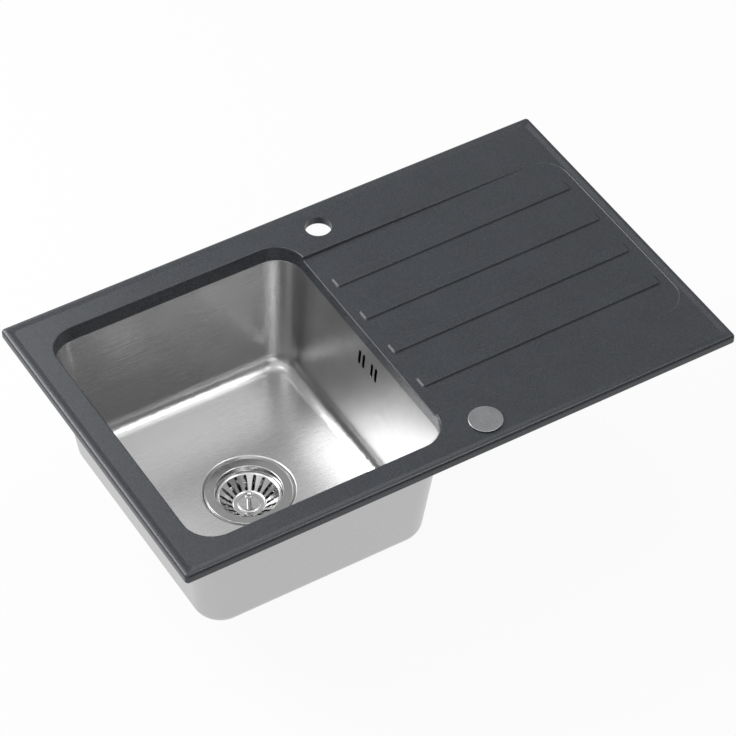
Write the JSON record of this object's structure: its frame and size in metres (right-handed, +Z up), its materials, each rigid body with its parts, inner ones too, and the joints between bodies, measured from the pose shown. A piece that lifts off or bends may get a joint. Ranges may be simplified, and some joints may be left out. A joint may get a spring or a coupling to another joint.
{
  "type": "kitchen sink with drainer",
  "caption": "Inset kitchen sink: speckled composite deck with a ribbed sloping drainer, tap hole and push button, and an undermounted steel bowl with overflow and pop-up basket waste.",
  "frame": {"origin": "on the underside of the rim, halfway along its front strip, where the sink rests on the worktop", "axes": "+X right along the length, from the bowl towards the drainer; +Y back, from the user towards the tap hole; +Z up"},
  "size_m": [0.78, 0.48, 0.2906],
  "materials": {
    "composite": "fine-grained matte, speckled graphite",
    "bowl_steel": "satin",
    "polished_steel": "polished",
    "button_chrome": "satin on top, polished edge",
    "plated_steel": "zinc plated",
    "insert_brass": "turned",
    "seal_rubber": "matte",
    "sealing_foam": "foamed, matte",
    "pad_bitumen": "matte",
    "waste_plastic": "fine satin, dark grey",
    "gear_plastic": "satin"
  },
  "bodies": {
    "sink": {"composite_deck": "composite", "rim_sealing_strip": "sealing_foam", "worktop_clip_inserts": "insert_brass", "clamp_inserts": "insert_brass", "steel_bowl": "bowl_steel", "bowl_joint_seal": "seal_rubber", "bowl_clamps": "plated_steel", "clamp_screws": "plated_steel", "sound_pad": "pad_bitumen", "strainer_flange": "polished_steel", "flange_gasket": "seal_rubber", "waste_gasket": "seal_rubber", "waste_body": "waste_plastic", "waste_screws": "plated_steel", "shaft_bush": "gear_plastic", "shaft_seal": "seal_rubber", "waste_cable_gland": "gear_plastic", "overflow_gasket": "seal_rubber", "overflow_housing": "gear_plastic", "overflow_stud": "plated_steel", "overflow_washer": "plated_steel", "overflow_nut": "plated_steel", "overflow_pipe": "waste_plastic", "overflow_branch": "waste_plastic", "overflow_slip_seals": "seal_rubber", "overflow_slip_nuts": "waste_plastic", "button_spring": "plated_steel", "button_gasket": "seal_rubber", "control_housing": "gear_plastic", "control_washer": "seal_rubber", "control_nut": "gear_plastic", "control_end_cap": "gear_plastic"},
    "button": {"control_button": "button_chrome", "control_plunger": "gear_plastic"},
    "lifter": {"lifter_shaft": "gear_plastic", "lifter_crank": "gear_plastic", "crank_screw": "plated_steel"},
    "basket": {"strainer_basket": "polished_steel", "basket_knob": "polished_steel", "basket_seal": "seal_rubber", "basket_stem": "gear_plastic"}
  },
  "joints": [
    {"name": "button_slide", "type": "slide", "parent": "sink", "child": "button", "axis": [0, 0, 1], "range_m": [0, 0.008], "deforming": ["button_spring"]},
    {"name": "lifter_turn", "type": "hinge", "parent": "sink", "child": "lifter", "pos_m": [-0.1954, 0.2306, -0.224], "axis": [0, -1, 0], "range_deg": [0, 24.31]},
    {"name": "basket_lift", "type": "slide", "parent": "sink", "child": "basket", "axis": [0, 0, 1], "range_m": [0, 0.008]}
  ],
  "couplings": [
    {"joint": "basket_lift", "follows": "button_slide", "ratio": 1},
    {"joint": "lifter_turn", "follows": "button_slide", "rad_per_m": 53.02}
  ]
}
